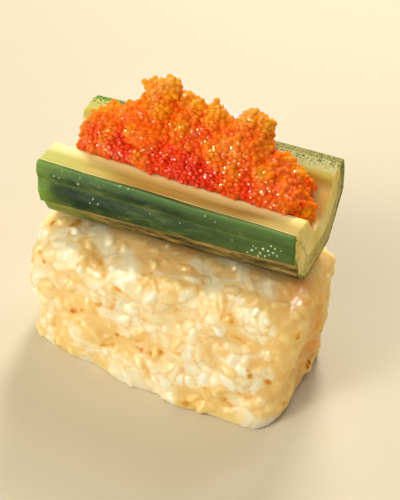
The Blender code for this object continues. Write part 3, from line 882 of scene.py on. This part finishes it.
def skin_colour(s, corner, along):
    """Dark green ribs with pale lines, a mottled tan facet under them, and a speckled far shoulder."""
    streaks = s.noise(380, 7, (0.35, 1, 1), 0.8, 0.8)
    skin = s.steps(streaks, [(0.34, "182a1a"), (0.46, "2e4a2c"), (0.56, "4c683a"), (0.68, "94a264")])
    skin = s.over(skin, "22361f", s.noise(90, 2, (0.4, 1, 1)), [(0.4, 0.55), (0.6, 0)])
    line = s.maths("ADD", corner, s.times(s.noise(60, 2, (1, 0.1, 0.1)), 0.03))
    pale_line = s.steps(line, at((1.9, 0), (2.12, 0.5), (2.2, 0.4), (2.4, 0)))
    broken = s.steps(s.noise(200, 3, (0.4, 1, 1)), [(0.4, 0), (0.6, 1)])
    skin = s.mix(s.times(pale_line, broken), skin, "8c9c62")
    skin = s.over(skin, "4e7c32", corner, at((0, 0.85), (0.25, 0.7), (0.9, 0)))
    # Lighter green towards the right end: painted light
    skin = s.over(skin, "6f8c4c", along, [(0.5, 0), (0.85, 0.4)])
    patchy = s.steps(s.noise(150, 3), [(0.35, 0.2), (0.6, 1)])
    left_end = s.steps(along, [(0, 0.9), (0.05, 0.55), (0.16, 0)])
    skin = s.mix(s.times(left_end, patchy), skin, "83a844")

    mottle = s.noise(520, 6, (0.2, 1, 1), 0.8)
    facet = s.steps(mottle, [(0.36, "201c10"), (0.45, "5a5030"), (0.53, "8a7a44"), (0.62, "cfa968")])
    tan_edge = s.steps(corner, at((FACET, 0.85), (FACET + 0.5, 0.5), (FACET + 1.2, 0)))
    facet = s.mix(s.times(tan_edge, s.steps(mottle, [(0.4, 0), (0.5, 1)])), facet, "b9904e")
    dark_edge = at((FACET + 1.6, 0), (FACET + 2, 0.8), (FACET + 2.6, 0.6))
    facet = s.over(facet, "3a3820", corner, dark_edge)
    facet = s.over(facet, "7f9a48", along, [(0.02, 0.75), (0.2, 0.15), (0.4, 0)])
    band = at((FACET - 0.08, 0), (FACET + 0.1, 1), (FACET + 3, 1), (FACET + 3.5, 0.5))
    skin = s.over(skin, facet, corner, band)

    shoulder = s.steps(along, [(0.15, "7aa53c"), (0.4, "98a454"), (0.7, "a2a058")])
    fade = s.steps(corner, at((FAR_CORNER - 1, 0.9), (FAR_CORNER, 0.6)))
    specks = s.times(fade, s.steps(s.noise(2400, 2), [(0.48, 0), (0.54, 1)]))
    shoulder = s.mix(specks, shoulder, "3c4422")
    return s.over(skin, shoulder, corner, at((FAR_CORNER - 1.05, 0), (FAR_CORNER - 0.95, 1)))


def flesh_colour(s, corner, along, depth):
    """Pale yellow-green flesh, deeper in the trough, sage on the far wall's top; amber beside the roe is
    painted shade and painted orange reflection.
    """
    # Amber in the middle of the cut top is painted shade and painted orange reflection from the roe
    flesh = s.steps(along, [(0, "b0bc66"), (0.14, "b8b25c"), (0.4, "c49e44"), (0.8, "b08c40"), (1, "b8a258")])
    flesh = s.over(flesh, "d9c987", s.noise(300, 4, (0.12, 1, 1), 0.6), [(0.35, 0), (0.7, 0.4)])
    far = s.steps(corner, at((FAR_CORNER + 0.6, 1), (FAR_CORNER + 1.1, 0)))
    sage = s.steps(along, [(0.1, "c4c470"), (0.4, "b8bc78"), (1, "c6c68a")])
    flesh = s.mix(far, flesh, sage)
    loose_specks = s.steps(corner, at((FAR_CORNER, 1), (FAR_CORNER + 0.7, 0)))
    specks = s.times(loose_specks, s.steps(s.noise(2400, 2), [(0.5, 0), (0.56, 1)]))
    flesh = s.mix(s.times(specks, far), flesh, "4e5a30")
    trough = s.steps(along, [(0.93, "fcf6b4"), (0.97, "f6e294"), (1, "f0d080")])
    flesh = s.over(flesh, trough, corner, at((14.1, 0), (14.5, 1), (17, 1), (17.5, 0)))
    flesh = s.over(flesh, "c4b43e", corner, at((13.75, 0), (14, 0.8), (14.3, 0)))
    end = s.steps(s.noise(260, 5, (1, 1, 0.3)), [(0.35, "f0d878"), (0.65, "faf0a4")])
    low = at((5.5, 0), (7.5, 0.6), (FAR_CORNER - 1, 0.6), (FAR_CORNER, 0))
    end = s.over(end, "ae9c5c", corner, low)
    return s.over(flesh, end, depth, [(0, 0), (0.05, 1)])


def cucumber_material():
    """Ribbed green skin outside, pale flesh where it is cut, and a thin green rim at the ends."""
    s = Shader("cucumber")
    corner, along, depth = (s.attribute(name) for name in ("corner", "along", "depth"))
    skin = skin_colour(s, corner, along)
    flesh = flesh_colour(s, corner, along, depth)
    cut = s.steps(corner, at((FAR_CORNER - 0.1, 0), (FAR_CORNER, 1)))
    width = s.steps(corner, at((8, 0.3), (10.5, 0.75)))
    edge = s.maths("DIVIDE", depth, width)
    rim = s.steps(s.times(edge, s.steps(s.noise(700, 3), [(0.3, 0.75), (0.7, 1)])),
                  [(0.65, 0), (0.9, 1)])
    far_rim = s.mix(s.steps(s.noise(1100, 4), [(0.46, 0), (0.54, 0.85)]), "a4ac58", "4c5a2c")
    rim_green = s.over("6ea436", far_rim, corner, at((3.5, 0), (5, 1)))
    rim_tint = s.over(skin, rim_green, depth, [(0.01, 0), (0.05, 0.9)])
    base = s.mix(s.maths("MAXIMUM", cut, rim), rim_tint, flesh)
    s.set(Base_Color=base, IOR=1.4, Specular_IOR_Level=0.05)
    s.set(Subsurface_Weight=0.6, Subsurface_Scale=2.5 * MM, Subsurface_Radius=(1, 0.8, 0.3))
    s.set(Roughness=s.steps(s.noise(500, 3), [(0.3, 0.32), (0.7, 0.55)]))
    s.bump(s.noise(700, 6, (0.35, 1, 1), 0.75), 0.24 * MM, 0.8)
    return s.material


def build_boat(shift):
    """The cucumber. Its search tree, before it is moved to its place, serves the other pieces."""
    boat = boat_piece()
    tree = tree_of(boat)
    boat.data.materials.append(cucumber_material())
    boat.location = shift
    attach(boat, "root")
    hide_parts("cucumber_boat")
    return tree


# Water drops on the near skin: the photograph's pixel, and radius in mm
DEW_DROPS = [
    (252, 250, 0.3), (256, 248, 0.24), (260, 253, 0.34), (263, 249, 0.28), (268, 251, 0.3),
    (271, 246, 0.26), (273, 253, 0.32), (265, 256, 0.26), (269, 255, 0.22), (275, 249, 0.26),
    (253, 246, 0.2), (258, 256, 0.24), (247, 252, 0.2), (277, 256, 0.22), (281, 251, 0.2),
    (54, 176, 0.26), (59, 178, 0.24), (62, 171, 0.2), (78, 184, 0.32), (80, 178, 0.22),
    (93, 199, 0.3), (98, 204, 0.26), (90, 203, 0.2), (120, 186, 0.2), (128, 189, 0.2),
    (180, 223, 0.24), (205, 216, 0.22), (215, 222, 0.18), (150, 214, 0.18), (232, 240, 0.2),
]


def build_dew(shift, boat_tree):
    """Fine water drops sitting on the cucumber's skin."""
    shape = bmesh.new()
    for *pixel, radius in DEW_DROPS:
        place = Matrix.Translation(pixel_place(pixel, boat_tree)) @ Matrix.Diagonal((1, 1, 0.9, 1))
        bmesh.ops.create_icosphere(shape, subdivisions=2, radius=radius * MM, matrix=place)
    dew = bmesh_object("dew_drops", shape)
    s = Shader("dew")
    s.set(Base_Color=(0.9, 1, 0.9, 1), Roughness=0.03, IOR=1.33)
    s.set(Transmission_Weight=0.6, Specular_IOR_Level=0.7)
    dew.data.materials.append(s.material)
    dew.location = shift
    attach(dew, "root")


def rim_lumps():
    """Lumps along the trough's two walls, as (x, y, z, radius) in mm."""
    draw = np.random.default_rng(3)
    lumps = []
    for inner_edge, side, start, stop in RIM_RUNS:
        for x in np.linspace(start, stop, RIM_COUNT):
            share = x * MM / BOAT_LENGTH + 0.5
            wall = between((LEFT_SECTION[inner_edge][0], RIGHT_SECTION[inner_edge][0]), share)
            height, radius = draw.uniform(*RIM_HEIGHTS), draw.uniform(*RIM_RADII)
            lumps.append((x, wall + side * RIM_INSET, height, radius))
    return lumps


def roe_body():
    """The heap's form under its outer eggs: lumps and the filled trough in one skin."""
    shape = bmesh.new()
    for x, y, z, radius in ROE_LUMPS + ROE_LOBES + rim_lumps():
        place = Matrix.Translation(Vector((x, y, z)) * MM)
        bmesh.ops.create_icosphere(shape, subdivisions=3, radius=radius * MM, matrix=place)
    middle = Matrix.Translation(Vector(TROUGH_FILL_PLACE) * MM)
    size = Matrix.Diagonal([side * MM for side in TROUGH_FILL_SIZE] + [1])
    bmesh.ops.create_cube(shape, size=1, matrix=middle @ size)
    body = bmesh_object("roe_body", shape)
    fuse(body, ROE_VOXEL, 2)
    places = coordinates(body.data)
    out = normals(body.data)
    for i, place in enumerate(places):
        swell = min(abs(noise.noise(Vector(place) / ROE_LUMP_SIZE)) * 5, 1) - 0.7
        places[i] = place + out[i] * swell * MM
    set_coordinates(body.data, places)
    return body


def roe_material():
    """Wet orange roe, amber on the lumps and red in the hollows, as painted light and painted shade."""
    s = Shader("roe")
    tone_and_shading = s.attribute("tone_and_shading")
    base = s.steps(tone_and_shading, [(0, "ea3602"), (0.3, "f25004"), (0.6, "f97804"), (1, "fea408")])
    s.set(Base_Color=base, Roughness=0.05, IOR=1.36, Specular_IOR_Level=0.24)
    s.set(Subsurface_Weight=1, Subsurface_Scale=0.35 * MM, Subsurface_Radius=(1, 0.8, 0.4))
    return s.material


def build_roe(shift, boat_tree):
    """The roe: separate eggs in layers over the heap's body."""
    draw = np.random.default_rng(7)
    radius = EGG_DIAMETER / 2
    body = roe_body()
    body_triangles = triangles_of(body.data)
    shape = bmesh.new()
    bmesh.ops.create_icosphere(shape, subdivisions=2, radius=1)
    egg_points = np.array([tuple(v.co) for v in shape.verts])
    egg_faces = np.array([[v.index for v in face.verts] for face in shape.faces])
    shape.free()
    bulge = local_relief(body.data, 60)
    bulge_tree = KDTree(len(bulge))
    for i, place in enumerate(coordinates(body.data)):
        bulge_tree.insert(place, i)
    bulge_tree.balance()
    centres, tones_and_shading = [], []
    for spacing, tries, lift, most in EGG_LAYERS:
        places, directions = spread(body_triangles, spacing, tries, draw)
        taken = 0
        for i in draw.permutation(len(places)):
            centre = Vector(places[i] + directions[i] * draw.uniform(*lift) * MM)
            outside, way = distance_outside(centre, boat_tree)
            if outside < radius + EGG_GAP:
                centre = centre + way * (radius + EGG_GAP - outside)
                outside, way = distance_outside(centre, boat_tree)
            buried = centre.z < BURIED_LEVEL and abs(centre.x) < BURIED_REACH
            if outside < radius or buried or taken >= most:
                continue
            taken += 1
            centres.append(tuple(centre))
            tones_and_shading.append(egg_tone_and_shading(centre, bulge[bulge_tree.find(centre)[1]], draw))
    centres = np.array(centres)
    sizes = radius * draw.uniform(*EGG_SIZES, len(centres))
    frames = np.eye(3)[None] * sizes[:, None, None]
    points, faces = copies(egg_points, egg_faces, frames, centres)
    eggs = mesh_object("roe_eggs", points, faces)
    set_attribute(eggs.data, "tone_and_shading", np.repeat(tones_and_shading, len(egg_points)))
    places = coordinates(body.data)
    body_tone_and_shading = [egg_tone_and_shading(Vector(place), swell, draw) for place, swell in zip(places, bulge)]
    set_attribute(body.data, "tone_and_shading", body_tone_and_shading)
    clear_body(body, boat_tree)
    material = roe_material()
    for obj in (eggs, body):
        obj.data.materials.append(material)
        obj.location = shift
        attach(obj, "root")
        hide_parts("roe_heap")


def egg_tone_and_shading(centre, bulge, draw):
    """How amber an egg is, as painted light and shade with a little random tone: brightest high up on the
    lumps, reddest low down and in the hollows.
    """
    high = centre.z / (20 * MM)
    red_shade = max(strength * math.exp(-(centre - Vector(spot) * MM).length_squared / (size * MM) ** 2)
              for *spot, size, strength in RED_SHADE_SPOTS)
    lobe = max(math.exp(-(centre - Vector(ball) * MM).length_squared / ((radius + 0.9) * MM) ** 2)
               for *ball, radius in ROE_LOBES)
    # Height, lobes and bulges paint light, the red spots paint shade, and the draw adds random tone
    tone_and_shading = 0.25 + 0.3 * high + 0.55 * lobe + 0.25 * bulge / MM - red_shade + draw.normal(0, 0.06)
    return float(np.clip(tone_and_shading, 0, 1))


def clear_body(body, boat_tree):
    """Swells the heap's form a little under its eggs, but not into the cucumber."""
    places = coordinates(body.data) + normals(body.data) * ROE_SWELL
    for i, place in enumerate(places):
        outside, way = distance_outside(place, boat_tree)
        if outside < GAP:
            places[i] = np.array(place) + np.array(way) * (GAP - outside)
    set_coordinates(body.data, places)


def build_stage(shift):
    """A plain pale floor, soft studio light and the camera."""
    bpy.ops.mesh.primitive_plane_add(size=FLOOR_SIZE, location=(0, 0, 0))
    floor = bpy.context.object
    floor.name = "floor"
    s = Shader("floor")
    s.set(Base_Color="beb59f", Roughness=0.8)
    floor.data.materials.append(s.material)
    floor.visible_glossy = False

    for name, place, width, watts, tint, glints_only in LAMPS:
        data = bpy.data.lights.new(name, "AREA")
        data.shape = "DISK"
        data.size = width
        data.energy = watts
        data.color = tint
        lamp = in_scene(name, data)
        lamp.location = place
        lamp.rotation_euler = (Vector(place) - LAMP_AIM).to_track_quat("Z", "Y").to_euler()
        lamp.visible_diffuse = not glints_only

    world = bpy.data.worlds.new("studio")
    world.use_nodes = True
    room = world.node_tree.nodes["Background"].inputs
    room["Color"].default_value = ROOM_TINT
    room["Strength"].default_value = ROOM_LIGHT
    scene = bpy.context.scene
    scene.world = world
    scene.view_settings.view_transform = "Standard"

    data = bpy.data.cameras.new("camera")
    data.lens = CAMERA_LENS
    data.sensor_width = SENSOR_SIZE
    data.clip_start = 0.01
    camera = in_scene("camera", data)
    turn = Matrix(camera_axes()).transposed()
    camera.matrix_world = Matrix.Translation(CAMERA_PLACE + shift) @ turn.to_4x4()
    scene.camera = camera


# Where the middle of the cucumber's cut top face lies in the frame
low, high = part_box("cucumber_boat")
shift = Vector(((low[0] + high[0]) / 2, high[1] - BOAT_REACH, BOAT_TOP))

boat_tree = build_boat(shift)
build_rice(shift, boat_tree)
build_roe(shift, boat_tree)
build_dew(shift, boat_tree)
build_stage(shift)
